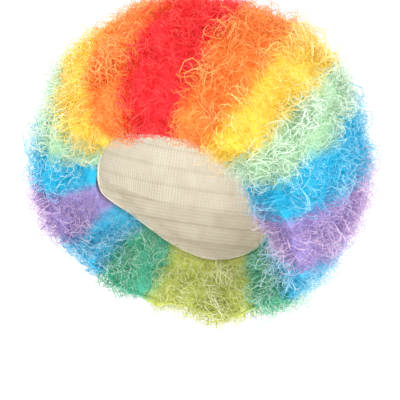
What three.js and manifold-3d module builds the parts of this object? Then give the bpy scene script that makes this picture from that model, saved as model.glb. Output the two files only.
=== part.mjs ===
// Rainbow clown wig: a ball of curled hair in colour bands, sewn to a stretch cap.
//
// Millimetres, +Z up. The origin is the inside of the cap at the crown, where the wig rests on
// a head. The front of the opening looks along -Y, and +X is the left side as worn.
//
// The cap is a thin shell with an elastic hem. The hair is one soft mass of round-ended locks
// on a backing, hollowed for the head and opened at the front and below. It is then parted
// into its colour bands, which fan out round an axis from the front opening to the back.

import * as THREE from "three";
import * as BufferGeometryUtils from "three/addons/utils/BufferGeometryUtils.js";
import Module from "manifold-3d";

const wasm = await Module();
wasm.setup();

// The head that the cap stretches over
const headHalfBreadth = 79;
const headHalfLength = 100;
const crownHeight = 95; // from the head's widest level up to the crown
const jawDepth = 110; // from the widest level down, which sets how the nape pulls in

// The cap
const capWall = 2;
const hemWidth = 12;
const hemFold = 1.2; // how far the folded hem stands in from the cap's inside
const hemRound = 1.5; // how far up the hem's rounded corners reach
const capColumns = 32;
const capRows = 8;
const jawRows = 4; // below the cap's edge, in the room for the head

// The hair
const hairRadius = 150; // from the middle of the ball to the tips of the locks
const hairSetBack = 12; // the middle of the ball, behind the middle of the head
const hairDrop = 90; // the middle of the ball, below the crown
const lockSpacing = 40;
const lockRadius = 24; // a little over half the spacing, so that locks run into each other
const lockHeight = 14; // how far a lock stands out of the backing
const lockLengthChange = 4; // how much shorter a lock may be
const lockLengthPhase = 2.3; // radians from one lock to the next, so that long and short mix
const triangleLength = 12.1; // about how long the sides of the ball's triangles are
const rimLockRadius = 19;
const rimLockHeight = 10;
const rimLocksRound = 20;
const rimRows = [0.2, 0.75]; // shares of the way from the cap's edge to the ball's outside
const rimRounding = 12; // how far the opening's wall bends back at the outside of the ball
const wallColumns = 60;
const wallRows = 5;
const wallReach = 1.6; // how far the opening's wall runs, with the ball's outside at 1
const rimStart = 0.5; // where the wall starts to bend back

// The colour bands
const bandTilt = THREE.MathUtils.degToRad(33); // the axis falls this much towards the front
const hairClearance = 0.3; // between the hair and the cap
const bandGap = 0.4; // between one colour and the next

// How the wig opens, from the middle of the brow (azimuth 0) to the nape (180).
// edgeDrop: the cap's edge below the crown, as a share of the crown's height.
// rimShift: how many degrees nearer the front the opening meets the outside of the ball.
// rimElevation: the angle of that place above the middle of the ball, in degrees.
const opening = [
  { azimuth: 0, edgeDrop: 0.82, rimShift: 0, rimElevation: 8 },
  { azimuth: 30, edgeDrop: 0.88, rimShift: -4, rimElevation: 2 },
  { azimuth: 52, edgeDrop: 1.05, rimShift: -8, rimElevation: -11 },
  { azimuth: 70, edgeDrop: 1.3, rimShift: -13, rimElevation: -25 },
  { azimuth: 90, edgeDrop: 1.38, rimShift: -21, rimElevation: -37 },
  { azimuth: 112, edgeDrop: 1.46, rimShift: -24, rimElevation: -46 },
  { azimuth: 145, edgeDrop: 1.68, rimShift: -21, rimElevation: -64 },
  { azimuth: 180, edgeDrop: 1.78, rimShift: 0, rimElevation: -69 },
];

// The colours from the middle of the crown down both sides to the middle of the nape, with the
// angle round the axis at which each ends, in degrees.
const bands = [
  { name: "hair_red", until: 14, colour: 0xe8303a },
  { name: "hair_orange", until: 34, colour: 0xff8a3c },
  { name: "hair_yellow", until: 52, colour: 0xffd83c },
  { name: "hair_green", until: 70, colour: 0xaadcb0 },
  { name: "hair_blue", until: 91, colour: 0x12a6dc },
  { name: "hair_purple", until: 118, colour: 0xa387c4 },
  { name: "hair_low_blue", until: 138, colour: 0x4cb8e0 },
  { name: "hair_low_green", until: 158, colour: 0x7ccf9a },
  { name: "hair_nape_yellow", until: 180, colour: 0xd6e26a },
];

// The middle line of the opening, from the middle of the ball down and forwards: its angle in
// degrees, and how far beyond the hair the room within it runs, in ball radii.
const openingFall = -58;
const openingReach = 2.6;

const hairMiddle = new THREE.Vector3(0, hairSetBack, -hairDrop);
const headMiddle = new THREE.Vector3(0, 0, -crownHeight);

// The opening's table, mirrored to the right side and read off as a smooth closed curve.
const mirrored = opening.slice(1).reverse().map((row) => ({
  ...row,
  azimuth: -row.azimuth,
  rimShift: -row.rimShift,
}));
const stations = [...mirrored, ...opening];
const openingCurve = new THREE.CubicInterpolant(
  stations.map((row) => row.azimuth),
  stations.flatMap((row) => [row.edgeDrop, row.rimShift, row.rimElevation]),
  3,
);
openingCurve.settings = {
  endingStart: THREE.WrapAroundEnding,
  endingEnd: THREE.WrapAroundEnding,
};

function openingAt(azimuth) {
  const wrapped = THREE.MathUtils.euclideanModulo(azimuth + 180, 360) - 180;
  const [edgeDrop, rimShift, rimElevation] = openingCurve.evaluate(wrapped);
  return { edgeDrop, rimAzimuth: azimuth + rimShift, rimElevation };
}

// A point of the form that the cap stretches over, grown outwards by an offset. The azimuth is
// in degrees from the front towards the left side, and the polar angle is from the crown down.
function headPoint(azimuth, polar, offset) {
  const turn = THREE.MathUtils.degToRad(azimuth);
  const height = (polar < Math.PI / 2 ? crownHeight : jawDepth) + offset;
  return new THREE.Vector3(
    (headHalfBreadth + offset) * Math.sin(polar) * Math.sin(turn),
    -(headHalfLength + offset) * Math.sin(polar) * Math.cos(turn),
    height * Math.cos(polar) - crownHeight,
  );
}

// The polar angle at which the head's form is a given drop below the crown.
function polarAt(drop) {
  const below = drop - crownHeight;
  return Math.acos(-below / (below < 0 ? crownHeight : jawDepth));
}

function edgePolar(azimuth) {
  return polarAt(openingAt(azimuth).edgeDrop * crownHeight);
}

// A closed body from rings of points: each ring is joined to the next, and both ends close on
// one point. Seen from the first point, the rings run anticlockwise.
function ringsToGeometry(first, rings, last) {
  const count = rings[0].length;
  const points = [first, ...rings.flat(), last];
  const triangles = [];
  const at = (ring, column) => 1 + ring * count + (column % count);
  for (let column = 0; column < count; column += 1) {
    triangles.push(0, at(0, column), at(0, column + 1));
    for (let ring = 0; ring < rings.length - 1; ring += 1) {
      const [a, b] = [at(ring, column), at(ring, column + 1)];
      const [c, d] = [at(ring + 1, column), at(ring + 1, column + 1)];
      triangles.push(a, c, d, a, d, b);
    }
    triangles.push(at(rings.length - 1, column), points.length - 1, at(rings.length - 1, column + 1));
  }
  const geometry = new THREE.BufferGeometry().setFromPoints(points);
  geometry.setIndex(triangles);
  return geometry;
}

function azimuths(count) {
  return Array.from({ length: count }, (_, index) => -180 + (360 * index) / count);
}

function toSolid(geometry) {
  const bare = geometry.clone();
  bare.deleteAttribute("normal");
  bare.deleteAttribute("uv");
  const merged = BufferGeometryUtils.mergeVertices(bare, 1e-4);
  const vertProperties = new Float32Array(merged.attributes.position.array);
  const triVerts = new Uint32Array(merged.index.array);
  return new wasm.Manifold(new wasm.Mesh({ numProp: 3, vertProperties, triVerts }));
}

function toGeometry(solid) {
  const mesh = solid.getMesh();
  const geometry = new THREE.BufferGeometry();
  geometry.setAttribute("position", new THREE.BufferAttribute(mesh.vertProperties, 3));
  geometry.setIndex(new THREE.BufferAttribute(mesh.triVerts, 1));
  geometry.computeVertexNormals();
  return geometry;
}

// One ring of the cap's form, at a polar angle that may differ with the azimuth.
function capRing(polarOf, offset) {
  return azimuths(capColumns).map((azimuth) => headPoint(azimuth, polarOf(azimuth), offset));
}

// Rings from the crown down to a last polar angle, all at one offset.
function capRings(rows, lastPolar, offset) {
  return Array.from({ length: rows }, (_, row) => {
    return capRing((azimuth) => (lastPolar(azimuth) * (row + 1)) / rows, offset);
  });
}

// The cap: down its outside, round the edge, over the folded hem and up its inside.
function capGeometry() {
  const hemPolar = (up) => (azimuth) => edgePolar(azimuth) - up / crownHeight;
  const rings = [
    ...capRings(capRows, edgePolar, capWall),
    capRing(edgePolar, -hemFold / 2),
    capRing(hemPolar(hemRound), -hemFold),
    capRing(hemPolar(hemWidth - hemRound), -hemFold),
    ...capRings(capRows, hemPolar(hemWidth), 0).reverse(),
  ];
  return ringsToGeometry(headPoint(0, 0, capWall), rings, headPoint(0, 0, 0));
}

// The room for the head, as a closed body that the hair is hollowed with. Above the cap's edge
// its faces lie just off the cap's outside.
function headRoom() {
  const offset = capWall + hairClearance;
  const rings = capRings(capRows, edgePolar, offset);
  for (let row = 1; row < jawRows; row += 1) {
    const polarOf = (azimuth) => THREE.MathUtils.lerp(edgePolar(azimuth), Math.PI, row / jawRows);
    rings.push(capRing(polarOf, offset));
  }
  return toSolid(ringsToGeometry(headPoint(0, 0, offset), rings, headPoint(0, Math.PI, offset)));
}

function ballPoint(azimuth, elevation, radius) {
  const turn = THREE.MathUtils.degToRad(azimuth);
  const rise = THREE.MathUtils.degToRad(elevation);
  return new THREE.Vector3(
    Math.sin(turn) * Math.cos(rise),
    -Math.cos(turn) * Math.cos(rise),
    Math.sin(rise),
  ).multiplyScalar(radius).add(hairMiddle);
}

// How high a round-ended lock stands at a distance from its middle line.
function lockProfile(distance, radius, height) {
  return distance < radius ? height * Math.sqrt(1 - (distance / radius) ** 2) : 0;
}

// Directions spread evenly over a ball, on a spiral from its top to its foot.
function spreadDirections(count) {
  const goldenTurn = Math.PI * (3 - Math.sqrt(5));
  return Array.from({ length: count }, (_, index) => {
    const height = 1 - (2 * index + 1) / count;
    const width = Math.sqrt(1 - height * height);
    const turn = goldenTurn * index;
    return new THREE.Vector3(width * Math.sin(turn), width * Math.cos(turn), height);
  });
}

// The ball of hair: locks spread over a round backing and fused with it, so that each point of
// the surface lies on the lock that stands out furthest there.
function lockedBall() {
  const cell = (Math.sqrt(3) / 2) * lockSpacing ** 2;
  const count = Math.round((4 * Math.PI * hairRadius ** 2) / cell);
  const locks = spreadDirections(count).map((direction, index) => ({
    direction,
    height: lockHeight - (lockLengthChange * (1 + Math.sin(index * lockLengthPhase))) / 2,
  }));
  const icosahedronSide = hairRadius / Math.sin((2 * Math.PI) / 5);
  const ball = new THREE.IcosahedronGeometry(1, Math.round(icosahedronSide / triangleLength) - 1);
  const position = ball.attributes.position;
  const point = new THREE.Vector3();
  for (let index = 0; index < position.count; index += 1) {
    point.fromBufferAttribute(position, index).normalize();
    const heights = locks.map(({ direction, height }) => {
      return lockProfile(point.angleTo(direction) * hairRadius, lockRadius, height);
    });
    point.multiplyScalar(hairRadius - lockHeight + Math.max(...heights)).add(hairMiddle);
    position.setXYZ(index, ...point);
  }
  return toSolid(ball);
}

// A point on the plain wall of the opening: share 0 is the cap's edge and 1 the ball's outside.
function wallPoint(azimuth, share) {
  const { rimAzimuth, rimElevation } = openingAt(azimuth);
  const inner = headPoint(azimuth, edgePolar(azimuth), capWall);
  return inner.lerp(ballPoint(rimAzimuth, rimElevation, hairRadius), share);
}

// The direction from the wall into the opening.
function wallNormal(azimuth, share) {
  const onwards = wallPoint(azimuth + 1, share).sub(wallPoint(azimuth - 1, share));
  const outwards = wallPoint(azimuth, share + 0.1).sub(wallPoint(azimuth, share));
  return onwards.cross(outwards).normalize();
}

// The room within the opening. Locks stand in two rows round its wall, which bends back
// towards the outside of the ball.
function openingRoom() {
  const feet = rimRows.flatMap((share, row) => {
    const start = (row * 180) / rimLocksRound;
    return azimuths(rimLocksRound).map((azimuth) => wallPoint(azimuth + start, share));
  });
  const sides = azimuths(wallColumns);
  const rings = [];
  for (let row = 0; row <= wallRows * wallReach; row += 1) {
    const share = row / wallRows;
    const bend = rimRounding * (Math.max(0, share - rimStart) / (1 - rimStart)) ** 2;
    rings.push(sides.map((azimuth) => {
      const point = wallPoint(azimuth, share);
      const heights = feet.map((foot) => {
        return lockProfile(foot.distanceTo(point), rimLockRadius, rimLockHeight);
      });
      return point.addScaledVector(wallNormal(azimuth, share), Math.max(...heights) - bend);
    }));
  }
  const before = ballPoint(0, openingFall, hairRadius * openingReach);
  return toSolid(ringsToGeometry(headMiddle, rings, before));
}

function hairMass() {
  return lockedBall().subtract(openingRoom()).subtract(headRoom());
}

// The spans of one colour: one over the crown or the nape, and otherwise one on each side.
function bandSpans(index) {
  const from = index === 0 ? 0 : bands[index - 1].until;
  const { until } = bands[index];
  if (index === 0) return [{ side: "", from: -until, to: until }];
  if (index === bands.length - 1) return [{ side: "", from, to: 2 * until - from }];
  return [
    { side: "_left", from, to: until },
    { side: "_right", from: -until, to: -from },
  ];
}

// The wedge that holds one colour, pulled in by half of the gap on both of its sides.
function bandWedge(from, to) {
  const [start, end] = [from, to].map(THREE.MathUtils.degToRad);
  const [middle, half] = [(start + end) / 2, (end - start) / 2];
  const reach = hairRadius * 3;
  const point = (angle, distance) => [Math.sin(angle) * distance, Math.cos(angle) * distance];
  const [apexX, apexY] = point(middle, bandGap / 2 / Math.sin(half));
  const outline = [start, end].map((angle) => {
    const [x, y] = point(angle, reach);
    return new THREE.Vector2(apexX + x, apexY + y);
  });
  const shape = new THREE.Shape([new THREE.Vector2(apexX, apexY), ...outline]);
  const geometry = new THREE.ExtrudeGeometry(shape, { depth: 2 * reach, bevelEnabled: false });
  geometry.translate(0, 0, -reach);
  const across = new THREE.Vector3(1, 0, 0);
  const up = new THREE.Vector3(0, -Math.sin(bandTilt), Math.cos(bandTilt));
  const forward = new THREE.Vector3().crossVectors(across, up);
  geometry.applyMatrix4(new THREE.Matrix4().makeBasis(across, up, forward));
  geometry.translate(hairMiddle.x, hairMiddle.y, hairMiddle.z);
  return toSolid(geometry);
}

function addMesh(group, name, geometry, colour, roughness) {
  const material = new THREE.MeshStandardMaterial({
    color: colour,
    roughness,
    metalness: 0,
    flatShading: true,
  });
  const mesh = new THREE.Mesh(geometry, material);
  mesh.name = name;
  group.add(mesh);
}

const wig = new THREE.Group();
addMesh(wig, "cap", capGeometry(), 0xe9e4da, 0.9);

const hair = hairMass();
bands.forEach(({ name, colour }, index) => {
  for (const { side, from, to } of bandSpans(index)) {
    const section = hair.intersect(bandWedge(from, to));
    addMesh(wig, name + side, toGeometry(section), colour, 0.6);
  }
});

export default wig;
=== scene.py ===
# %% [markdown]
# # A rainbow clown wig
#
# The real wig is a stretch cap with rows of curled synthetic hair sewn all over it, dyed in
# bands that fan out from the front to the back. Seen from a metre away it is a soft, bright
# ball: full colour where the hair is dense, and pale towards the edge, where single curls let
# the light through. This notebook builds that look round a packed frame, which holds the sizes.

# %% Load the frame
import math

import bmesh
import bpy
import numpy as np
from mathutils import Matrix, Vector, noise
from mathutils.bvhtree import BVHTree

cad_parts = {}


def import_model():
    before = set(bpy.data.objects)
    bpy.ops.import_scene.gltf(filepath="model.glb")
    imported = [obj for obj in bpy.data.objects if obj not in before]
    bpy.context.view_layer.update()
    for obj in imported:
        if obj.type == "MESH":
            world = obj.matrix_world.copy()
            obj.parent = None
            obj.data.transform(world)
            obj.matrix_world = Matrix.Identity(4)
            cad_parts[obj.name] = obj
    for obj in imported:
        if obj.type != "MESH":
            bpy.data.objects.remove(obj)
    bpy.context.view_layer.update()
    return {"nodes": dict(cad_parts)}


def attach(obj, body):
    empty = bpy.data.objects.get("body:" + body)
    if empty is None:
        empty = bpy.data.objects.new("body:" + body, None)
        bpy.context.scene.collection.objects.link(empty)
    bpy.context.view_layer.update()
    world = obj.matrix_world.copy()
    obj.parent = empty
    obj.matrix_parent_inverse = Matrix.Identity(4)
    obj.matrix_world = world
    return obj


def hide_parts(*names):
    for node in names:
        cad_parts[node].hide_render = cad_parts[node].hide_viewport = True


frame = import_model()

# %% [markdown]
# ## Sizes
#
# Everything is in metres. The ball of hair has one middle, and its colours meet on planes that
# all pass through one axis, like the segments of a beach ball. The axis runs from the front to
# the back and falls towards the front. These few values are enough to cut the hair apart, to
# dye it and to aim the camera.

# %% Name the sizes
BALL_MIDDLE = Vector((0.0, 0.012, -0.090))
BAND_TILT = math.radians(33)
ACROSS = Vector((1, 0, 0))
BAND_UP = Vector((0, -math.sin(BAND_TILT), math.cos(BAND_TILT)))
print("from the axis to the middle of the crown:", [round(part, 3) for part in BAND_UP])

# %% [markdown]
# ## Bands of colour
#
# Each band ends at an angle round the axis, in degrees from the middle of the crown, and has
# three tones: a painted shade for the deep hair between the curls, the dyed tone, and a painted
# light for the thin tips and crests that the light shines through.
# The bands are alike on both sides, so one table and a loop give all sixteen sections.

# %% Name the bands and their tones
CROWN = 0
NAPE = 180
BANDS = [
    # name, until, painted shade, dyed, painted light
    ("hair_red", 14, "ea242e", "f9323c", "ff6c66"),
    ("hair_orange", 34, "fb842a", "ffa248", "ffc67c"),
    ("hair_yellow", 52, "ffdc46", "ffe058", "fff0b0"),
    ("hair_green", 70, "9acc98", "d6eed6", "f4fbf2"),
    ("hair_blue", 91, "00acd6", "1cc6e6", "ccf2fc"),
    ("hair_purple", 118, "9086c8", "baa2d4", "f8e4f6"),
    ("hair_low_blue", 138, "22b4de", "6ed0ec", "dff5fc"),
    ("hair_low_green", 158, "2cae8e", "82d4b0", "dcf6e6"),
    ("hair_nape_yellow", NAPE, "c6d056", "e4ea90", "f9f9da"),
]
# The deep tone is painted shade, and the pale tone is painted light.
PAINTED_SHADE, DYED, PAINTED_LIGHT = range(3)


def linear(code):
    """A colour code as the linear light that Blender works in, by the formula of sRGB."""
    parts = [int(code[i : i + 2], 16) / 255 for i in (0, 2, 4)]
    return [p / 12.92 if p <= 0.04045 else ((p + 0.055) / 1.055) ** 2.4 for p in parts] + [1.0]


def sections():
    """Each section of hair as its node, its span in degrees, its slot and its tones."""
    start = CROWN
    for name, until, *codes in BANDS:
        tones = [linear(code) for code in codes]
        if start == CROWN:
            spans = {"": (-until, until)}
        elif until == NAPE:
            spans = {"": (start, 2 * NAPE - start)}
        else:
            spans = {"_left": (start, until), "_right": (-until, -start)}
        for side, span in spans.items():
            yield name + side, span, name, tones
        start = until


SECTIONS = list(sections())
print("sections:", [name for name, *_ in SECTIONS])

# %% [markdown]
# ## Writing nodes as sums
#
# A node tree is easier to read as an expression. `Wire` holds one output of a node, and the
# usual signs between wires and numbers add Math nodes. `Board.add` makes any other node from
# its type, its settings and the values or wires of its sockets.

# %% Wrap the outputs of nodes
def sign(operation):
    """Two methods for a sign: for a wire that stands before it, and for one that stands after."""

    def before(self, other):
        return self.board.maths(operation, self, other)

    def after(self, other):
        return self.board.maths(operation, other, self)

    return before, after


def named(sockets, name):
    """The socket in use with a name. A node may have others of that name, switched off."""
    return [s for s in sockets if s.name == name and s.enabled][0]


class Wire:
    """One output of a node. The signs + - * / and ** add Math nodes after it."""

    __add__, __radd__ = sign("ADD")
    __sub__, __rsub__ = sign("SUBTRACT")
    __mul__, __rmul__ = sign("MULTIPLY")
    __truediv__, __rtruediv__ = sign("DIVIDE")
    __pow__, __rpow__ = sign("POWER")

    def __init__(self, board, node, socket):
        self.board = board
        self.node = node
        self.socket = socket

    def __getitem__(self, name):
        return Wire(self.board, self.node, named(self.node.outputs, name))

    def maths(self, operation, *others):
        return self.board.maths(operation, self, *others)


print("signs that also work after a number:", [key for key in vars(Wire) if key[:3] == "__r"])

# %% Wrap node trees
def set_stops(ramp, stops):
    """Gives a colour ramp its stops, each a place and a colour."""
    while len(ramp.elements) < len(stops):
        ramp.elements.new(1.0)
    for element, (place, colour) in zip(ramp.elements, stops):
        element.position = place
        element.color = colour


class Board:
    """A node tree to which nodes are added one at a time."""

    def __init__(self, tree):
        self.tree = tree

    def add(self, kind, settings=None, values=None):
        """Adds a node. Its settings come first, because they decide which sockets it has. The
        values or wires for its sockets are given by name or, as a list, in their order."""
        node = self.tree.nodes.new(kind)
        for key, value in (settings or {}).items():
            if key == "stops":
                set_stops(node.color_ramp, value)
            else:
                setattr(node, key, value)
        if isinstance(values, dict):
            pairs = [(named(node.inputs, key), value) for key, value in values.items()]
        else:
            pairs = list(zip([s for s in node.inputs if s.enabled], values or []))
        for socket, value in pairs:
            several = socket.is_multi_input and isinstance(value, list)
            for one in value if several else [value]:
                self.plug(socket, one)
        outputs = [s for s in node.outputs if s.enabled]
        return Wire(self, node, outputs[0] if outputs else None)

    def plug(self, socket, value):
        if isinstance(value, Wire):
            self.tree.links.new(value.socket, socket)
        else:
            socket.default_value = value

    def maths(self, operation, *values):
        return self.add("ShaderNodeMath", {"operation": operation}, list(values))

    def vector(self, operation, *values):
        return self.add("ShaderNodeVectorMath", {"operation": operation}, list(values))

    def scaled(self, vector, share):
        values = {"Vector": vector, "Scale": share}
        return self.add("ShaderNodeVectorMath", {"operation": "SCALE"}, values)

    def noise(self, place, scale, detail=1.0):
        values = {"Vector": place, "Scale": scale, "Detail": detail}
        return self.add("ShaderNodeTexNoise", values=values)


print("a board can:", [key for key in vars(Board) if not key.startswith("_")])

# %% [markdown]
# ## The dense hair under the curls
#
# Below the loose curls the hair is so dense that no light passes, so a solid mass stands for it.
# It could be a smooth ball, but then the locks of the frame would be lost. Here the sections
# are joined into one body and remeshed, so that their parting lines close. They grow a little
# first, but not into the wall of the cap.

# %% Find the wall of the cap
def to_edit(mesh):
    """A body that bmesh can edit, with the faces of a mesh."""
    body = bmesh.new()
    body.from_mesh(mesh)
    return body


def from_edit(body, name):
    """An edited body as a mesh again."""
    mesh = bpy.data.meshes.new(name)
    body.to_mesh(mesh)
    body.free()
    return mesh


def search_tree(mesh):
    """A tree that finds where a mesh is nearest to a point, or where a ray meets it."""
    body = to_edit(mesh)
    tree = BVHTree.FromBMesh(body)
    body.free()
    return tree


CAP_TREE = search_tree(frame["nodes"]["cap"].data)


def cap_distance_of(point):
    _, _, _, distance = CAP_TREE.find_nearest(point)
    return distance


print("from the middle of the ball to the cap:", round(cap_distance_of(BALL_MIDDLE), 3))

# %% Join and remesh the hair
WELD = 1e-5
MASS_OVERLAP = 0.0022
MASS_VOXEL = 0.0040


def grown_section(name):
    """A section grown a little, so that it overlaps its neighbours. Beside the cap it grows by
    no more than half of its distance from it."""
    section = to_edit(frame["nodes"][name].data)
    bmesh.ops.remove_doubles(section, verts=section.verts, dist=WELD)
    section.normal_update()
    for vertex in section.verts:
        growth = min(MASS_OVERLAP, cap_distance_of(vertex.co) / 2)
        vertex.co += vertex.normal * growth
    return from_edit(section, name)


def join_meshes(name, meshes):
    """Several meshes as one, with the UV map that they share. They are given up for it."""
    together = bmesh.new()
    for mesh in meshes:
        together.from_mesh(mesh)
        bpy.data.meshes.remove(mesh)
    return from_edit(together, name)


def evaluated_mesh(mesh, add_modifier):
    """The mesh that a modifier makes of another, as plain data."""
    holder = bpy.data.objects.new("holder", mesh)
    bpy.context.scene.collection.objects.link(holder)
    add_modifier(holder.modifiers)
    graph = bpy.context.evaluated_depsgraph_get()
    result = bpy.data.meshes.new_from_object(
        holder.evaluated_get(graph), preserve_all_data_layers=True, depsgraph=graph
    )
    bpy.data.objects.remove(holder)
    return result


def add_remesh(modifiers):
    remesh = modifiers.new("Remesh", "REMESH")
    remesh.mode = "VOXEL"
    remesh.voxel_size = MASS_VOXEL


all_hair = join_meshes("hair_mass", [grown_section(name) for name, *_ in SECTIONS])
mass = evaluated_mesh(all_hair, add_remesh)
print("hair mass:", len(mass.vertices), "points")

# %% [markdown]
# ## Room for the curls
#
# The curls stand on the mass, so it has to lie deeper than the outline of the hair. Scaling it
# down would press it into the cap. Instead each point moves in along its own normal, as far as
# the cap and the thickness of the hair there allow. It moves by small steps, and the mass is
# evened after each step, since one long step would fold it in its grooves. Noise that is
# measured from the place of each point roughens it.

# %% Measure the room for the curls
CURL_ROOM = 0.0125
CAP_MARGIN = 0.004
MOST_DRAWN = 0.3
SKIN_DEPTH = 0.0005
ROOM_EVENINGS = 5


def read_vectors(mesh, key):
    flat = np.zeros(len(mesh.vertices) * 3, np.float32)
    mesh.vertices.foreach_get(key, flat)
    return flat.reshape(-1, 3)


def wall_thickness(mesh):
    """How thick the hair is under each point, straight in, as a column of values."""
    tree = search_tree(mesh)
    found = []
    for point, normal in zip(read_vectors(mesh, "co"), read_vectors(mesh, "normal")):
        inwards = Vector(normal) * -1.0
        _, _, _, depth = tree.ray_cast(Vector(point) + inwards * SKIN_DEPTH, inwards)
        found.append(depth if depth is not None else CURL_ROOM / MOST_DRAWN)
    return np.array(found, np.float32)[:, None]


def evened(mesh, values):
    """Rows of values on the points of a mesh, each averaged with those of its neighbours."""
    ends = np.zeros(len(mesh.edges) * 2, np.int32)
    mesh.edges.foreach_get("vertices", ends)
    one, other = ends.reshape(-1, 2).T
    total = values.copy()
    np.add.at(total, one, values[other])
    np.add.at(total, other, values[one])
    return total / (1.0 + np.bincount(ends, minlength=len(values)))[:, None]


def room_for_curls(mesh, from_cap):
    """How far each point can move in: not into the cap, and not so far that a thin rim would
    turn inside out."""
    most = np.minimum(wall_thickness(mesh) * MOST_DRAWN, CURL_ROOM)
    for _ in range(ROOM_EVENINGS):
        most = evened(mesh, most)
    return np.minimum(np.clip(from_cap - CAP_MARGIN, 0.0, CURL_ROOM), most)


cap_distance = np.array([cap_distance_of(Vector(p)) for p in read_vectors(mass, "co")])[:, None]
curl_room = room_for_curls(mass, cap_distance)
print("room for curls, on average:", round(float(curl_room.mean()), 4))

# %% Draw the mass in and roughen it
STEPS = 5
STEP_EVENINGS = 3
ROUGHNESS = [
    # size of a bump, height of a bump
    (0.011, 0.0014),
    (0.0045, 0.0012),
]


def move_points(mesh, points):
    mesh.vertices.foreach_set("co", points.astype(np.float32).ravel())
    mesh.update()


def draw_in(mesh, from_cap, room):
    """Moves each point in by its room. What lies beside the cap isn't evened, so it stays."""
    points = read_vectors(mesh, "co")
    free = np.clip(from_cap / CAP_MARGIN - 1.0, 0.0, 1.0)
    for _ in range(STEPS):
        points -= read_vectors(mesh, "normal") * room / STEPS
        for _ in range(STEP_EVENINGS):
            points += (evened(mesh, points) - points) * free
        move_points(mesh, points)


def roughen(mesh, room):
    """Adds bumps of two sizes, which are lower where there is less room."""
    points = read_vectors(mesh, "co")
    rough = np.zeros(len(points))
    for size, height in ROUGHNESS:
        rough += np.array([noise.noise(Vector(p) / size) * height for p in points])
    points += read_vectors(mesh, "normal") * rough[:, None] * room / CURL_ROOM
    move_points(mesh, points)


before = read_vectors(mass, "co")
draw_in(mass, cap_distance, curl_room)
roughen(mass, curl_room)
moved = np.linalg.norm(read_vectors(mass, "co") - before, axis=1)
print("the mass moved by", round(float(moved.mean()), 4), "on average")

# %% [markdown]
# ## Cutting the mass into its colours
#
# A section lies between two planes through the axis. `bisect_plane` cuts on each in turn, and
# the open cut is filled, so every section stays a closed body and neighbours meet without a
# step. The same cut without the filling, and without the inside that lies on the cap, is the
# skin on which curls will grow. Each point of the mass keeps three values for this. The size of
# its curls is less at a thin rim and less again beside the cap, so that no curl reaches through
# the cap's wall. The thin cover marks where curls are small or part from each other, as they do
# on the ridge round the opening. The distance from the cap tells the inside from the outside.

# %% Measure how the curls cover the mass
RIM_SIZE = 0.7
ROOM_SIZE = 0.3
FULL_SIZE_FROM = 0.013
LEAST_SIZE = 0.4
THIN_COVER_SIZE = 0.8
RIDGE_EVENINGS = 3
RIDGE_BELOW = 0.94


def on_ridge(mesh):
    """True where the averaged normals are short, because they part from each other."""
    normals = read_vectors(mesh, "normal")
    for _ in range(RIDGE_EVENINGS):
        normals = evened(mesh, normals)
    return np.linalg.norm(normals, axis=1) < RIDGE_BELOW


def keep_on_points(mesh, key, values):
    """Keeps a value for each point of a mesh, which a cut then passes on."""
    kept = mesh.attributes.new(key, "FLOAT", "POINT")
    kept.data.foreach_set("value", values.astype(np.float32).ravel())


by_room = RIM_SIZE + ROOM_SIZE * curl_room / CURL_ROOM
by_distance = np.maximum(cap_distance / FULL_SIZE_FROM, LEAST_SIZE)
curl_size = np.minimum(by_room, by_distance)
thin_cover = on_ridge(mass) | (curl_size[:, 0] < THIN_COVER_SIZE)
keep_on_points(mass, "curl_size", curl_size)
keep_on_points(mass, "thin_cover", thin_cover)
keep_on_points(mass, "from_cap", cap_distance)
print("thin cover on", round(float(thin_cover.mean()), 2), "of the mass")

# %% Cut the sections
BARE_UP_TO = 0.0036


def plane_normal(angle):
    """The normal of the plane at an angle round the axis, pointing to larger angles."""
    turn = math.radians(angle)
    return ACROSS * math.cos(turn) - BAND_UP * math.sin(turn)


def cut_section(name, span, closed):
    """A copy of the mass between two planes, closed or as the bare outer skin."""
    body = to_edit(mass)
    for angle, side in zip(span, (1, -1)):
        bmesh.ops.bisect_plane(
            body,
            geom=body.verts[:] + body.edges[:] + body.faces[:],
            plane_co=BALL_MIDDLE,
            plane_no=plane_normal(angle) * side,
            clear_inner=True,
        )
        if closed:
            rim = [edge for edge in body.edges if edge.is_boundary]
            bmesh.ops.holes_fill(body, edges=rim)
    if not closed:
        from_cap = body.verts.layers.float["from_cap"]
        inside = [f for f in body.faces if max(v[from_cap] for v in f.verts) < BARE_UP_TO]
        bmesh.ops.delete(body, geom=inside, context="FACES")
    bmesh.ops.triangulate(body, faces=body.faces, ngon_method="EAR_CLIP")
    bmesh.ops.dissolve_degenerate(body, edges=body.edges, dist=WELD)
    return from_edit(body, name)


BODIES = {name: cut_section(f"{name}_mass", span, True) for name, span, *_ in SECTIONS}
SKINS = {name: cut_section(f"{name}_skin", span, False) for name, span, *_ in SECTIONS}
print("dense hair:", sum(len(body.polygons) for body in BODIES.values()), "triangles")

# %% [markdown]
# ## Material of the dense hair
#
# Two things are painted on the mass, and painted shade over both. The dye follows the angle
# round the axis, read from the place itself, and noise moves its borders a little, because a
# real wig's colours run into each other. The curls that lie too deep to be modelled are drawn as
# the contour lines of a smooth noise: they wind, close and run side by side, as tangled strands
# do. The spaces between them take the deep tone, a painted shade.

# %% Dye the dense hair
# The whole mass is darkened as painted shade, for the shadow of the curls over it.
MASS_PAINTED_SHADE = 0.82
BORDER_SOFTNESS = 7.0
BORDER_WANDER = 18.0
WANDER_SCALE = 26.0
WANDER_DETAIL = 3.0


def shaded_dye_stops(tone):
    """Stops of a ramp from the crown, at 0, to the nape, at 1, for a tone darkened as painted
    shade.
    """
    stops = []
    start = CROWN
    inset = BORDER_SOFTNESS / 2
    for _, until, *codes in BANDS:
        first = start + inset if start > CROWN else CROWN
        last = until - inset if until < NAPE else NAPE
        colour = [part * MASS_PAINTED_SHADE for part in linear(codes[tone])[:3]] + [1.0]
        stops += [(first / NAPE, colour), (last / NAPE, colour)]
        start = until
    return stops


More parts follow.
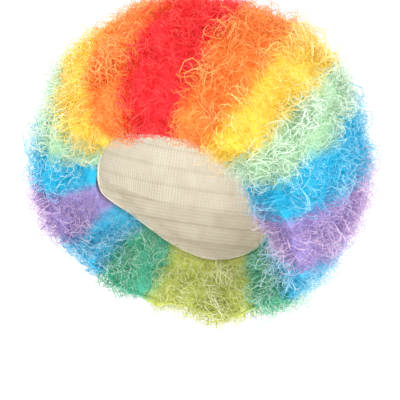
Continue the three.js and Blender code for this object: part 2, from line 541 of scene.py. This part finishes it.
def dye_angle(board, place):
    """How far round the axis a place lies, from 0 at the crown to 1 at the nape."""
    from_middle = board.vector("SUBTRACT", place, tuple(BALL_MIDDLE))
    parts = board.add("ShaderNodeSeparateXYZ", values=[from_middle])
    up = parts["Z"] * BAND_UP.z + parts["Y"] * BAND_UP.y
    turn = board.maths("ARCTAN2", parts["X"], up).maths("ABSOLUTE") / math.pi
    wander = board.noise(place, WANDER_SCALE, WANDER_DETAIL)["Fac"] - 0.5
    return turn + wander * (BORDER_WANDER / NAPE)


print("stops of the dye:", [round(place, 2) for place, _ in shaded_dye_stops(DYED)])

# %% Make the material of the dense hair
STRAND_LAYERS = [
    # scale of the noise, contour lines in its range, share of the picture
    (95.0, 26.0, 0.5),
    (150.0, 17.0, 0.35),
]
LINES_TONE = 0.5
PATCH_SCALE = 40.0
PATCH_DETAIL = 2.0
PATCH_TONE = 0.6
TONE_DROP = 0.25


def new_material(name):
    """An empty material and the board of its nodes."""
    material = bpy.data.materials.new(name)
    material.use_nodes = True
    material.node_tree.nodes.clear()
    return material, Board(material.node_tree)


def wave(angle):
    """The sine of a wire, moved so that it runs from 0 to 1."""
    return angle.maths("SINE") * 0.5 + 0.5


def strand_lines(board, place):
    """Lines that wind like strands of hair: low between them and high on them."""
    return sum(
        wave(board.noise(place, scale)["Fac"] * (count * math.tau)) * share
        for scale, count, share in STRAND_LAYERS
    )


def mass_material():
    material, board = new_material("hair_mass")
    place = board.add("ShaderNodeTexCoord")["Object"]
    angle = dye_angle(board, place)
    shaded, dyed = [
        board.add("ShaderNodeValToRGB", {"stops": shaded_dye_stops(tone)}, {"Fac": angle})
        for tone in (PAINTED_SHADE, DYED)
    ]
    lines = strand_lines(board, place)
    patches = board.noise(place, PATCH_SCALE, PATCH_DETAIL)["Fac"]
    # The deep tone, a painted shade, fills the spaces between the drawn strands and some patches.
    tone = lines * LINES_TONE + patches * PATCH_TONE - TONE_DROP
    values = {"Factor": tone, "A": shaded, "B": dyed}
    colour = board.add("ShaderNodeMix", {"data_type": "RGBA"}, values)["Result"]
    values = {"Strength": 0.35, "Distance": 0.001, "Height": lines}
    bump = board.add("ShaderNodeBump", values=values)
    values = {"Base Color": colour, "Roughness": 0.8, "Normal": bump}
    shader = board.add("ShaderNodeBsdfPrincipled", values=values)
    board.add("ShaderNodeOutputMaterial", values={"Surface": shader})
    return material


MASS_MATERIAL = mass_material()
print("material of the dense hair:", len(MASS_MATERIAL.node_tree.nodes), "nodes")

# %% [markdown]
# ## Curls by Geometry Nodes
#
# A curl is a turn of a spiral. A hair system could grow them, but its hairs are no mesh, and
# this wig has to be one. So a tree of Geometry Nodes spreads points over the skin, places one
# of a few spirals on each, leans and turns it with its lock, and gives it a thickness. The same
# tree makes every coat of hair, and its inputs tell the coats apart.

# %% Begin the tree of curls
CURL_INPUTS = {
    "Spacing": 0.004,
    "Strand Radius": 0.0003,
    "Loop Radius": 0.005,
    "Height": 0.016,
    "Turns": 1.0,
    "Lean": 0.5,
    "Sink": 0.003,
    "Painted Light": 0.3,
    "Cover Above": -1.0,
}


def add_socket(tree, name, kind, in_out="INPUT"):
    return tree.interface.new_socket(name, in_out=in_out, socket_type=f"NodeSocket{kind}")


def new_curl_tree():
    """A tree with the named inputs of a coat of curls, and nothing in it yet."""
    tree = bpy.data.node_groups.new("Curls", "GeometryNodeTree")
    add_socket(tree, "Skin", "Geometry")
    for name, value in CURL_INPUTS.items():
        add_socket(tree, name, "Float").default_value = value
    add_socket(tree, "Segments", "Int")
    add_socket(tree, "Seed", "Int")
    add_socket(tree, "Material", "Material")
    add_socket(tree, "Geometry", "Geometry", "OUTPUT")
    return tree


CURL_TREE = new_curl_tree()
curl_board = Board(CURL_TREE)
coat_inputs = curl_board.add("NodeGroupInput")
print("inputs of a coat:", [socket.name for socket in coat_inputs.node.outputs if socket.name])

# %% [markdown]
# ## Strands
#
# Most spirals lie on their side with both ends in the mass, so that they stand up as arcs and
# round the outline of a lock. A slow noise bends each one, because no curl is a true spiral.
# A strand is a tube with three sides: at this size nobody sees its section, and it keeps
# thousands of curls light. It grows thinner to its tip, and each place on it keeps how far it
# rises over the skin.

# %% Shape the strands
SHAPES = [
    # turns, first radius, last radius and height as shares of the tree's inputs, tilt in degrees,
    # and how many times taller than wide a tilted spiral is
    (0.95, 0.80, 1.00, 0.60, 60, 1.4),
    (0.90, 0.90, 1.15, 0.50, 75, 1.6),
    (0.95, 1.05, 0.90, 0.35, 90, 1.9),
    (0.80, 1.15, 1.00, 0.30, 90, 2.1),
    (0.85, 0.75, 0.70, 0.45, 90, 1.6),
    (0.80, 1.00, 0.70, 0.95, 20, 1.0),
]
BEND = 0.006
BEND_SCALE = 85.0
BEND_STEP = 7.3


def tilted_spiral(board, given, shape):
    """One of the shapes as a curve."""
    turns, first, last, height, tilt, stretch = shape
    values = {
        "Resolution": given["Segments"],
        "Rotations": given["Turns"] * turns,
        "Start Radius": given["Loop Radius"] * first,
        "End Radius": given["Loop Radius"] * last,
        "Height": given["Height"] * height,
    }
    spiral = board.add("GeometryNodeCurveSpiral", values=values)
    values = {
        "Geometry": spiral,
        "Rotation": (0.0, math.radians(tilt), 0.0),
        "Scale": (stretch, 1.0, 1.0),
    }
    return board.add("GeometryNodeTransform", values=values)


def centred(board, colour):
    """The colour of a noise as a vector that is about zero on average."""
    return board.vector("SUBTRACT", colour, (0.5, 0.5, 0.5))


def bent(board, curve, number):
    """A curve bent by a noise. Its number shifts the noise, so each shape has its own bends."""
    values = {
        "Vector": board.add("GeometryNodeInputPosition"),
        "W": number * BEND_STEP,
        "Scale": BEND_SCALE,
        "Detail": 1.0,
    }
    wander = board.add("ShaderNodeTexNoise", {"noise_dimensions": "4D"}, values)["Color"]
    push = board.scaled(centred(board, wander), BEND)
    return board.add("GeometryNodeSetPosition", values={"Geometry": curve, "Offset": push})


curves = [
    bent(curl_board, tilted_spiral(curl_board, coat_inputs, shape), number)
    for number, shape in enumerate(SHAPES)
]
print("curves:", len(curves), "shapes,", len(CURL_TREE.nodes), "nodes so far")

# %% Give the strands their thickness
STRAND_SIDES = 3
TAPER = 0.7
RISE = 1.8


def keep_value(board, geometry, name, value):
    """Keeps a value on the points of a geometry under a name."""
    values = {"Geometry": geometry, "Name": name, "Value": value}
    settings = {"data_type": "FLOAT", "domain": "POINT"}
    return board.add("GeometryNodeStoreNamedAttribute", settings, values)


def kept_value(board, name):
    """The value that is kept on points under a name."""
    settings = {"data_type": "FLOAT"}
    return board.add("GeometryNodeInputNamedAttribute", settings, {"Name": name})["Attribute"]


def strand(board, given, curve):
    """A curve as a thin tube, ready to be placed many times."""
    along = board.add("GeometryNodeSplineParameter")["Factor"]
    taper = 1.0 - along * along * TAPER
    thick = board.add("GeometryNodeSetCurveRadius", values={"Curve": curve, "Radius": taper})
    spot = board.add("GeometryNodeInputPosition")
    height = board.add("ShaderNodeSeparateXYZ", values=[spot])["Z"]
    marked = keep_value(board, thick, "rise", height / (given["Loop Radius"] * RISE))
    values = {"Resolution": STRAND_SIDES, "Radius": given["Strand Radius"]}
    profile = board.add("GeometryNodeCurvePrimitiveCircle", {"mode": "RADIUS"}, values)
    values = {"Curve": marked, "Profile Curve": profile, "Fill Caps": True}
    tube = board.add("GeometryNodeCurveToMesh", values=values)
    return board.add("GeometryNodeGeometryToInstance", values={"Geometry": tube})


strands = [strand(curl_board, coat_inputs, curve) for curve in curves]
print("strands:", len(strands), "tubes,", len(CURL_TREE.nodes), "nodes so far")

# %% [markdown]
# ## Roots, locks and lumps
#
# The real hair is sewn on in rows, but by the time it is fluffed up the rows are lost, and the
# curls hang together in locks and stand in lumps. So the roots are spread evenly by chance, and
# two slow noises arrange them. One gives neighbours nearly the same lean and turn, as in a
# lock. The other makes curls larger in the middle of a lump, and paler there as painted light,
# with painted shade in the dips between.

# %% Spread the roots
ROOTS_PER_SQUARE_METRE = 500000.0
LUMP_SCALE = 32.0
# How far lumps are lightened and their dips darkened, as painted light and painted shade.
LUMP_LIGHT_AND_SHADE = 1.0
SHADE_POWER = 3.0
SEED_SHIFTS = {"lean": 3, "spin": 5, "shade": 7, "shape": 9, "size": 11}


def chance(board, given, use, least, most, kind="FLOAT"):
    """A random value for each curl, from the seed of the coat and a shift for each use."""
    values = {"Min": least, "Max": most, "Seed": given["Seed"] + SEED_SHIFTS[use]}
    return board.add("FunctionNodeRandomValue", {"data_type": kind}, values)


def lump_height(board):
    """A slow noise over the hair, high in the middle of a lump and low in the dips between."""
    spot = board.add("GeometryNodeInputPosition")
    return board.noise(spot, LUMP_SCALE)["Fac"]


def spread_roots(board, given):
    """Points over the skin, each with its curl's tone and painted light, and sunk into the skin.
    """
    chosen = kept_value(board, "thin_cover").maths("GREATER_THAN", given["Cover Above"])
    values = {
        "Mesh": given["Skin"],
        "Selection": chosen,
        "Distance Min": given["Spacing"],
        "Density Max": ROOTS_PER_SQUARE_METRE,
        "Seed": given["Seed"],
    }
    settings = {"distribute_method": "POISSON"}
    spread = board.add("GeometryNodeDistributePointsOnFaces", settings, values)
    # A curl's tone: its own at random, cubed so that only a few curls come near the painted light
    # as painted highlights; painted light on a lump and painted shade in its dips; and the
    # painted light of its coat.
    own = chance(board, given, "shade", 0.0, 1.0) ** SHADE_POWER
    shade = own + (lump_height(board) - 0.5) * LUMP_LIGHT_AND_SHADE + given["Painted Light"]
    marked = keep_value(board, spread["Points"], "shade", shade)
    sink = board.scaled(spread["Normal"], given["Sink"] * -1.0)
    sunk = board.add("GeometryNodeSetPosition", values={"Geometry": marked, "Offset": sink})
    return sunk, spread["Normal"]


roots, skin_normal = spread_roots(curl_board, coat_inputs)
print("roots:", len(CURL_TREE.nodes), "nodes so far")

# %% Turn and size the curls
LOCK_SCALE = 36.0
LOCK_LEAN = 4.0
STRAY_LEAN = 0.5
SPIN_SCALE = LOCK_SCALE * 0.7
LOCK_TURNS = 2.5
STRAY_TURN = 1.6
SIZE_RANGE = (0.75, 1.1)
LUMP_SIZE = 2.2


def leaning(board, given, normal):
    """The way that each curl stands: off the skin, but leaning as its lock does."""
    spot = board.add("GeometryNodeInputPosition")
    drift = board.noise(spot, LOCK_SCALE)["Color"]
    lock = board.scaled(centred(board, drift), LOCK_LEAN)
    least = (-STRAY_LEAN, -STRAY_LEAN, -STRAY_LEAN)
    most = (STRAY_LEAN, STRAY_LEAN, STRAY_LEAN)
    stray = chance(board, given, "lean", least, most, kind="FLOAT_VECTOR")
    swing = board.scaled(board.vector("ADD", lock, stray), given["Lean"])
    return board.vector("ADD", normal, swing)


def curl_turns(board, given, normal):
    """The rotation of each curl: stood up on its lean, and spun round itself with its lock."""
    values = {"Vector": leaning(board, given, normal)}
    stood = board.add("FunctionNodeAlignRotationToVector", {"axis": "Z"}, values)
    spot = board.add("GeometryNodeInputPosition")
    lock_turn = board.noise(spot, SPIN_SCALE)["Fac"] * (math.tau * LOCK_TURNS)
    turn = lock_turn + chance(board, given, "spin", 0.0, STRAY_TURN)
    spin = board.add("ShaderNodeCombineXYZ", values={"Z": turn})
    values = {"Rotation": stood, "Rotate By": spin}
    return board.add("FunctionNodeRotateRotation", {"rotation_space": "LOCAL"}, values)


def curl_sizes(board, given):
    """The scale of each curl: by chance, by lumps in the hair, and by its place."""
    lump = lump_height(board) * LUMP_SIZE + 1.0 - LUMP_SIZE / 2
    return chance(board, given, "size", *SIZE_RANGE) * lump * kept_value(board, "curl_size")


turns = curl_turns(curl_board, coat_inputs, skin_normal)
sizes = curl_sizes(curl_board, coat_inputs)
print("turns and sizes:", len(CURL_TREE.nodes), "nodes so far")

# %% [markdown]
# ## Placing and mapping the curls
#
# An instance of one of the strands goes on each root, and then the instances become real
# triangles, because an export drops instances. The tree writes a UV map: u is the height of a
# place over the skin, and v is a tone that changes from curl to curl, with the painted light
# and shade of its lump and coat in it. So one small material can colour thousands of curls and
# still be baked.

# %% Finish the tree of curls
def placed_curls(board, given):
    """A curl on each root, of a shape picked by chance."""
    values = {
        "Points": roots,
        "Instance": board.add("GeometryNodeJoinGeometry", values={"Geometry": strands}),
        "Pick Instance": True,
        "Instance Index": chance(board, given, "shape", 0, len(SHAPES) - 1, kind="INT"),
        "Rotation": turns,
        "Scale": sizes,
    }
    return board.add("GeometryNodeInstanceOnPoints", values=values)


def with_uv_map(board, curls):
    """Curls with the UV map of their rise and their tone, with its painted light and shade."""
    parts = {"X": kept_value(board, "rise"), "Y": kept_value(board, "shade")}
    pair = board.add("ShaderNodeCombineXYZ", values=parts)
    values = {"Geometry": curls, "Name": "OFBake", "Value": pair}
    settings = {"data_type": "FLOAT2", "domain": "CORNER"}
    return board.add("GeometryNodeStoreNamedAttribute", settings, values)


def finish_tree(board, given):
    """Realizes the curls and gives them their UV map and their material."""
    placed = placed_curls(board, given)
    real = board.add("GeometryNodeRealizeInstances", values={"Geometry": placed})
    values = {"Geometry": with_uv_map(board, real), "Material": given["Material"]}
    painted = board.add("GeometryNodeSetMaterial", values=values)
    board.add("NodeGroupOutput", values={"Geometry": painted})


finish_tree(curl_board, coat_inputs)
print("curl tree:", len(CURL_TREE.nodes), "nodes")

# %% [markdown]
# ## Coats of curls
#
# The tree is set on a holder with the bare skin, its inputs are set by their identifiers, and
# the result becomes a plain mesh. Four coats grow on each section: a few wide loops that catch
# the eye, ringlets that cover the mass, thin wisps that stand out further and make the soft
# edge, and short curls that close the cover where the others are small, round the opening.

# %% Name the coats and grow one
# Each coat moves its curls towards the painted light by a share of its own: most for the wisps,
# whose pale soft edge is painted light, and a little for the loops and short curls.
COATS = {
    "loops": {
        "Spacing": 0.0080,
        "Segments": 11,
        "Strand Radius": 0.00024,
        "Loop Radius": 0.0064,
        "Height": 0.009,
        "Turns": 1.05,
        "Lean": 1.1,
        "Sink": -0.003,
        "Painted Light": 0.15,
    },
    "ringlets": {
        "Spacing": 0.0040,
        "Segments": 8,
        "Strand Radius": 0.00028,
        "Loop Radius": 0.0050,
        "Height": 0.014,
        "Turns": 1.0,
        "Lean": 0.6,
        "Sink": 0.0,
        "Painted Light": 0.0,
    },
    "wisps": {
        "Spacing": 0.0038,
        "Segments": 8,
        "Strand Radius": 0.00018,
        "Loop Radius": 0.0056,
        "Height": 0.018,
        "Turns": 1.0,
        "Lean": 0.5,
        "Sink": -0.003,
        "Painted Light": 0.45,
    },
    "short": {
        "Spacing": 0.0027,
        "Segments": 6,
        "Strand Radius": 0.00034,
        "Loop Radius": 0.0056,
        "Height": 0.009,
        "Turns": 1.0,
        "Lean": 0.7,
        "Sink": 0.0,
        "Painted Light": 0.1,
        "Cover Above": 0.5,
    },
}


def grow(skin, material, coat, seed):
    """The mesh of one coat of curls on a skin."""
    wanted = dict(COATS[coat], Seed=seed, Material=material)

    def add_curls(modifiers):
        modifier = modifiers.new("Curls", "NODES")
        modifier.node_group = CURL_TREE
        for item in CURL_TREE.interface.items_tree:
            if item.in_out == "INPUT" and item.name in wanted:
                modifier[item.identifier] = wanted[item.name]

    return evaluated_mesh(skin, add_curls)


print("coats:", list(COATS))

# %% [markdown]
# ## Material of the curls
#
# Synthetic hair is glossy, and thin enough that some light comes through. The colour runs from
# a painted shade at the skin to the dyed tone and then to a crest of painted light, and the tone
# of each curl moves it up or down that run. The painted light of the crests shows most at the
# outline, where one looks along them, as in the photograph.

# %% Make the materials of the curls
# Low on a curl the colour leans to the painted shade, and high on it to the painted light.
RISE_LIGHT_AND_SHADE = 0.48
TONE_AND_LIGHT_SHARE = 0.55
TONE_STOPS = [(0.0, PAINTED_SHADE), (0.25, DYED), (0.45, DYED), (0.9, PAINTED_LIGHT)]
LIGHT_THROUGH = 0.45


def curl_material(name, tones):
    material, board = new_material(name)
    coordinates = board.add("ShaderNodeUVMap", {"uv_map": "OFBake"})
    parts = board.add("ShaderNodeSeparateXYZ", values={"Vector": coordinates})
    tone = parts["X"] * RISE_LIGHT_AND_SHADE + parts["Y"] * TONE_AND_LIGHT_SHARE
    stops = [(place, tones[which]) for place, which in TONE_STOPS]
    colour = board.add("ShaderNodeValToRGB", {"stops": stops}, {"Fac": tone})
    values = {"Base Color": colour, "Roughness": 0.5, "Specular IOR Level": 0.3}
    gloss = board.add("ShaderNodeBsdfPrincipled", values=values)
    lit = [(a + b) / 2 for a, b in zip(tones[DYED], tones[PAINTED_LIGHT])]
    through = board.add("ShaderNodeBsdfTranslucent", values={"Color": lit})
    mixed = board.add("ShaderNodeMixShader", values=[LIGHT_THROUGH, gloss, through])
    board.add("ShaderNodeOutputMaterial", values={"Surface": mixed})
    return material


CURL_MATERIALS = {name: curl_material(f"{name}_curl", tones) for name, *_, tones in SECTIONS}
print("materials of curls:", len(CURL_MATERIALS))

# %% [markdown]
# ## The hair of every section
#
# On the real wig a section is one stretch of wefts in one colour. Here it is two pieces that
# stand together for one solid of the frame: its dense hair, and its curls with all their coats.
# Every coat has a seed of its own, so that no two sections are alike.

# %% Make every section
SEED_STEP = 17


def add_piece(name, mesh, material, slot, *nodes):
    """Links a finished mesh as a piece of the wig that stands for solids of the frame. Joined
    meshes number their materials as their parts did, so these numbers are cleared first."""
    piece = bpy.data.objects.new(name, mesh)
    bpy.context.scene.collection.objects.link(piece)
    mesh.materials.clear()
    mesh.materials.append(material)
    mesh.shade_smooth()
    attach(piece, "root")
    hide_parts(*nodes)


def triangles_in(mesh):
    return sum(len(face.vertices) - 2 for face in mesh.polygons)


total = 0
for number, (name, _, slot, _) in enumerate(SECTIONS):
    body = BODIES[name]
    add_piece(f"{name}_mass", body, MASS_MATERIAL, slot, name)
    hair = CURL_MATERIALS[name]
    seed = SEED_STEP * number
    coats = [grow(SKINS[name], hair, coat, seed + i) for i, coat in enumerate(COATS)]
    curls = join_meshes(f"{name}_curls", coats)
    add_piece(f"{name}_curls", curls, hair, slot, name)
    total += triangles_in(body) + triangles_in(curls)
    print(name, "mass", triangles_in(body), "curls", triangles_in(curls))
print("triangles added:", total)

# %% [markdown]
# ## The cap
#
# The cap is knitted, so it is matt, a little uneven, and covered with small stitches in rows.
# Its hem is a ribbed elastic, and the rows in which the hair is sewn on show through the knit
# as seams. Modelled stitches would be far too fine, so waves of the height and of the angle
# draw them. Where the hem lies is read from the cap's own form, a part of a long round form:
# at the hem the wall stands a little inside of it.

# %% Draw the knit, the seams and the hem
CAP_MIDDLE = Vector((0.0, 0.0, -0.095))
CAP_HALF_SIZES = Vector((0.079, 0.100, 0.095))
STITCH = 0.0030
STITCHES_AROUND = 190.0
SEAM_SPACING = 0.016
SEAM_SHARPNESS = 12.0
HEM_WITHIN = 0.994


def cap_masks(board, place):
    """The knit, the ribs, the seams and the hem, each from 0 to 1."""
    from_middle = board.vector("SUBTRACT", place, tuple(CAP_MIDDLE))
    shares = board.vector("DIVIDE", from_middle, tuple(CAP_HALF_SIZES))
    parts = board.add("ShaderNodeSeparateXYZ", values=[from_middle])
    around = board.maths("ARCTAN2", parts["X"], parts["Y"])
    ribs = wave(around * STITCHES_AROUND)
    knit = wave(parts["Z"] * (math.tau / STITCH)) * ribs
    seams = wave(parts["Z"] * (math.tau / SEAM_SPACING)) ** SEAM_SHARPNESS
    length = board.vector("LENGTH", shares)["Value"]
    hem = board.maths("LESS_THAN", length, HEM_WITHIN)
    return knit, ribs, seams, hem


print("rows of stitches on the whole round form:", round(CAP_HALF_SIZES.z * 2 / STITCH))

# %% Make the cap
KNIT_COLOURS = [(0.1, linear("beb4a0")), (0.9, linear("e8e1d3"))]
KNIT_PATCH_SCALE = 60.0
KNIT_PATCH_DETAIL = 4.0
KNIT_PATCH_TONE = 0.7
KNIT_TONE = 0.2
SEAM_TONE = 0.2
HEM_TONE = 0.25
RIB_HEIGHT = 1.5
ANY_ANGLE = 3.0
SMOOTHING = 2


def cap_material():
    material, board = new_material("cap_knit")
    place = board.add("ShaderNodeTexCoord")["Object"]
    knit, ribs, seams, hem = cap_masks(board, place)
    height = knit * (1.0 - hem) + ribs * hem * RIB_HEIGHT + seams * (1.0 - hem)
    patches = board.noise(place, KNIT_PATCH_SCALE, KNIT_PATCH_DETAIL)["Fac"]
    tone = patches * KNIT_PATCH_TONE + knit * KNIT_TONE - seams * SEAM_TONE + hem * HEM_TONE
    colour = board.add("ShaderNodeValToRGB", {"stops": KNIT_COLOURS}, {"Fac": tone})
    values = {"Strength": 0.4, "Distance": 0.0006, "Height": height}
    bump = board.add("ShaderNodeBump", values=values)
    values = {"Base Color": colour, "Roughness": 0.9, "Normal": bump}
    shader = board.add("ShaderNodeBsdfPrincipled", values=values)
    board.add("ShaderNodeOutputMaterial", values={"Surface": shader})
    return material


def add_smoothing(modifiers):
    smooth = modifiers.new("Smooth", "SUBSURF")
    smooth.levels = SMOOTHING
    smooth.render_levels = SMOOTHING


def make_cap():
    """The solid of the cap with its triangles paired into four-sided faces and smoothed."""
    body = to_edit(frame["nodes"]["cap"].data)
    bmesh.ops.remove_doubles(body, verts=body.verts, dist=WELD)
    bmesh.ops.join_triangles(
        body, faces=body.faces, angle_face_threshold=ANY_ANGLE, angle_shape_threshold=ANY_ANGLE
    )
    mesh = evaluated_mesh(from_edit(body, "cap_knit"), add_smoothing)
    add_piece("cap_knit", mesh, cap_material(), "cap_knit", "cap")
    return mesh


print("cap:", triangles_in(make_cap()), "triangles")

# %% [markdown]
# ## Stage and light
#
# The photograph is high-key: white all round, soft light from the front and from below, and
# the edge of the hair lit from the sides and behind. A bright world could do most of that, but
# only lamps give the curls their gleam, so both are used, over a pale floor.

# %% Lay the floor and light the world
FLOOR_DROP = 1.6
FLOOR_HALF = 20.0
FLOOR_COLOUR = (0.95, 0.95, 0.95, 1.0)
WORLD_COLOUR = (1.0, 1.0, 1.0, 1.0)
WORLD_STRENGTH = 1.05


def add_floor():
    material, board = new_material("floor")
    values = {"Base Color": FLOOR_COLOUR, "Roughness": 0.9}
    shader = board.add("ShaderNodeBsdfPrincipled", values=values)
    board.add("ShaderNodeOutputMaterial", values={"Surface": shader})
    body = bmesh.new()
    bmesh.ops.create_grid(body, x_segments=1, y_segments=1, size=FLOOR_HALF)
    bmesh.ops.translate(body, verts=body.verts, vec=(0, 0, -FLOOR_DROP))
    mesh = from_edit(body, "floor")
    mesh.materials.append(material)
    floor = bpy.data.objects.new("floor", mesh)
    bpy.context.scene.collection.objects.link(floor)


def set_world():
    world = bpy.data.worlds.new("studio")
    world.use_nodes = True
    world.node_tree.nodes.clear()
    board = Board(world.node_tree)
    values = {"Color": WORLD_COLOUR, "Strength": WORLD_STRENGTH}
    white = board.add("ShaderNodeBackground", values=values)
    board.add("ShaderNodeOutputWorld", values={"Surface": white})
    bpy.context.scene.world = world


add_floor()
set_world()

# %% Set the lamps
LAMPS = [
    # name, azimuth, elevation, distance, size, power
    ("key", -20, 35, 1.4, 1.0, 13.0),
    ("fill", 55, 5, 1.6, 1.2, 10.0),
    ("right_edge", -100, 15, 1.4, 0.9, 24.0),
    ("left_edge", 120, 15, 1.4, 0.9, 14.0),
    ("low", 30, -35, 1.5, 1.2, 15.0),
]


def direction(azimuth, elevation):
    """Degrees from the front towards the left side, and up, as a direction."""
    turn = math.radians(azimuth)
    rise = math.radians(elevation)
    level = math.cos(rise)
    return Vector((math.sin(turn) * level, -math.cos(turn) * level, math.sin(rise)))


def add_lamp(name, azimuth, elevation, distance, size, power):
    """A round soft lamp that shines at the middle of the ball."""
    data = bpy.data.lights.new(name, "AREA")
    data.shape = "DISK"
    data.size = size
    data.energy = power
    lamp = bpy.data.objects.new(name, data)
    away = direction(azimuth, elevation)
    turn = away.to_track_quat("Z", "Y").to_matrix().to_4x4()
    lamp.matrix_world = Matrix.Translation(BALL_MIDDLE + away * distance) @ turn
    bpy.context.scene.collection.objects.link(lamp)


for lamp in LAMPS:
    add_lamp(*lamp)
bpy.context.scene.view_settings.view_transform = "Standard"
print("lamps:", [name for name, *_ in LAMPS])

# %% [markdown]
# ## Camera
#
# The photograph was taken from a little to the left side and from low down, with a long lens,
# and the wig is tilted in it. A wig can't stand tilted in its frame, so the camera rolls. Its
# lens follows from how many pixels of the picture a metre at the wig covers.

# %% Place the camera
VIEW_AZIMUTH = 20
VIEW_ELEVATION = -4
VIEW_ROLL = math.radians(8)
VIEW_DISTANCE = 1.7
PIXELS_PER_METRE = 1165
PICTURE = 400
BALL_PIXEL = (200, 163)
SENSOR = 36.0


def add_camera():
    """A camera on the photograph's line of sight, with the ball at its pixel."""
    data = bpy.data.cameras.new("camera")
    data.sensor_width = SENSOR
    data.lens = PIXELS_PER_METRE * VIEW_DISTANCE * SENSOR / PICTURE
    camera = bpy.data.objects.new("camera", data)
    away = direction(VIEW_AZIMUTH, VIEW_ELEVATION)
    level = Vector((-away.y, away.x, 0)).normalized()
    upright = away.cross(level)
    right = level * math.cos(VIEW_ROLL) + upright * math.sin(VIEW_ROLL)
    up = upright * math.cos(VIEW_ROLL) - level * math.sin(VIEW_ROLL)
    aside = (PICTURE / 2 - BALL_PIXEL[0]) / PIXELS_PER_METRE
    above = (PICTURE / 2 - BALL_PIXEL[1]) / PIXELS_PER_METRE
    aim = BALL_MIDDLE + right * aside - up * above
    turn = Matrix((right, up, away)).transposed().to_4x4()
    camera.matrix_world = Matrix.Translation(aim + away * VIEW_DISTANCE) @ turn
    bpy.context.scene.collection.objects.link(camera)
    bpy.context.scene.camera = camera


add_camera()
print("lens:", round(bpy.context.scene.camera.data.lens), "mm")

# %% [markdown]
# ## Curls and the solids
#
# Curls may stand a little out of the solids, but not far.
